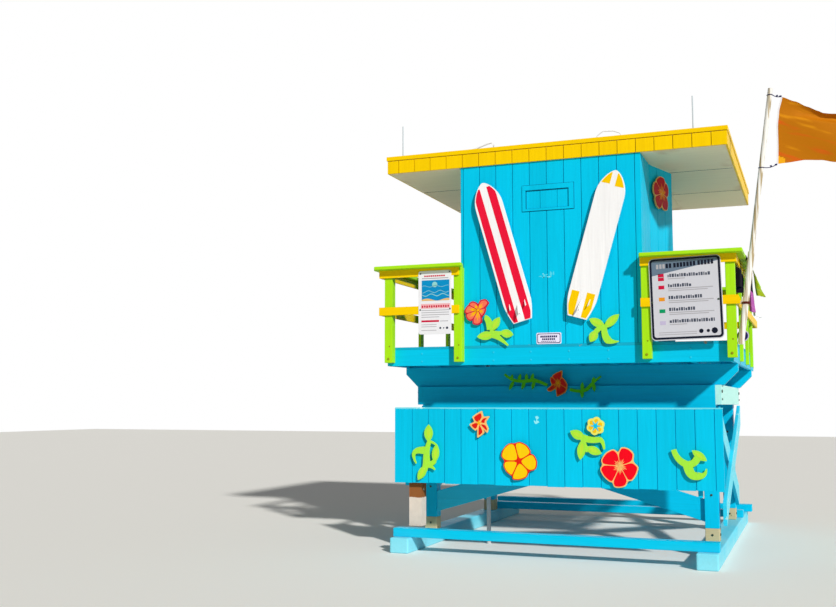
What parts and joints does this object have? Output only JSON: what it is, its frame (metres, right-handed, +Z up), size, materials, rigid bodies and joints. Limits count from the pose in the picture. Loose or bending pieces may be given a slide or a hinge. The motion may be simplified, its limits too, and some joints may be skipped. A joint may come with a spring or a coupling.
{
  "type": "lifeguard tower",
  "caption": "Painted timber lifeguard tower: a small cabin with a flat roof on a raised deck with rails, flowers, surfboards and a flag, on skids.",
  "frame": {"origin": "on the ground, at the middle of the footprint's bounding box, flag included", "axes": "+X to the right as seen from behind the tower, +Y from the rear wall towards the open front, +Z up"},
  "size_m": [5.252, 4.22, 4.601],
  "materials": {
    "turquoise_paint": "satin",
    "lime_paint": "satin",
    "yellow_paint": "satin",
    "white_paint": "satin",
    "red_paint": "satin",
    "bare_timber": "matt",
    "grey_pipe": "satin",
    "pale_cloth": "matt",
    "orange_cloth": "matt"
  },
  "bodies": {
    "root": {"skids": "turquoise_paint", "cross_beams": "turquoise_paint", "main_posts": "turquoise_paint", "post_feet": "bare_timber", "skirt_prop": "bare_timber", "skirt_rails": "turquoise_paint", "skirt_hangers": "turquoise_paint", "skirt_arms": "turquoise_paint", "inner_braces": "turquoise_paint", "outer_braces": "turquoise_paint", "ring_beams": "turquoise_paint", "side_girders": "turquoise_paint", "upper_beams": "turquoise_paint", "stand_pipe": "grey_pipe", "deck_joists": "turquoise_paint", "deck_rim": "turquoise_paint", "deck_boards": "turquoise_paint", "skirt_panel": "turquoise_paint", "rear_wall": "turquoise_paint", "side_walls": "turquoise_paint", "front_wall": "turquoise_paint", "hatch": "turquoise_paint", "roof_frame": "bare_timber", "roof_sheets": "white_paint", "fascia": "yellow_paint", "roof_trim": "yellow_paint", "whip_rods": "white_paint", "rail_posts": "lime_paint", "stanchions": "lime_paint", "rail_caps": "lime_paint", "rail_aprons": "yellow_paint", "mid_rails": "yellow_paint", "warning_sign": "white_paint", "safety_sign": "white_paint", "striped_board": "red_paint", "white_board": "white_paint", "pegs": "turquoise_paint", "flowers": "red_paint", "leaves": "lime_paint", "vine": "lime_paint", "pole_sleeve": "white_paint", "flagpole": "white_paint", "flag_ties": "white_paint", "flag": "orange_cloth", "spare_flags": "pale_cloth"}
  },
  "joints": []
}
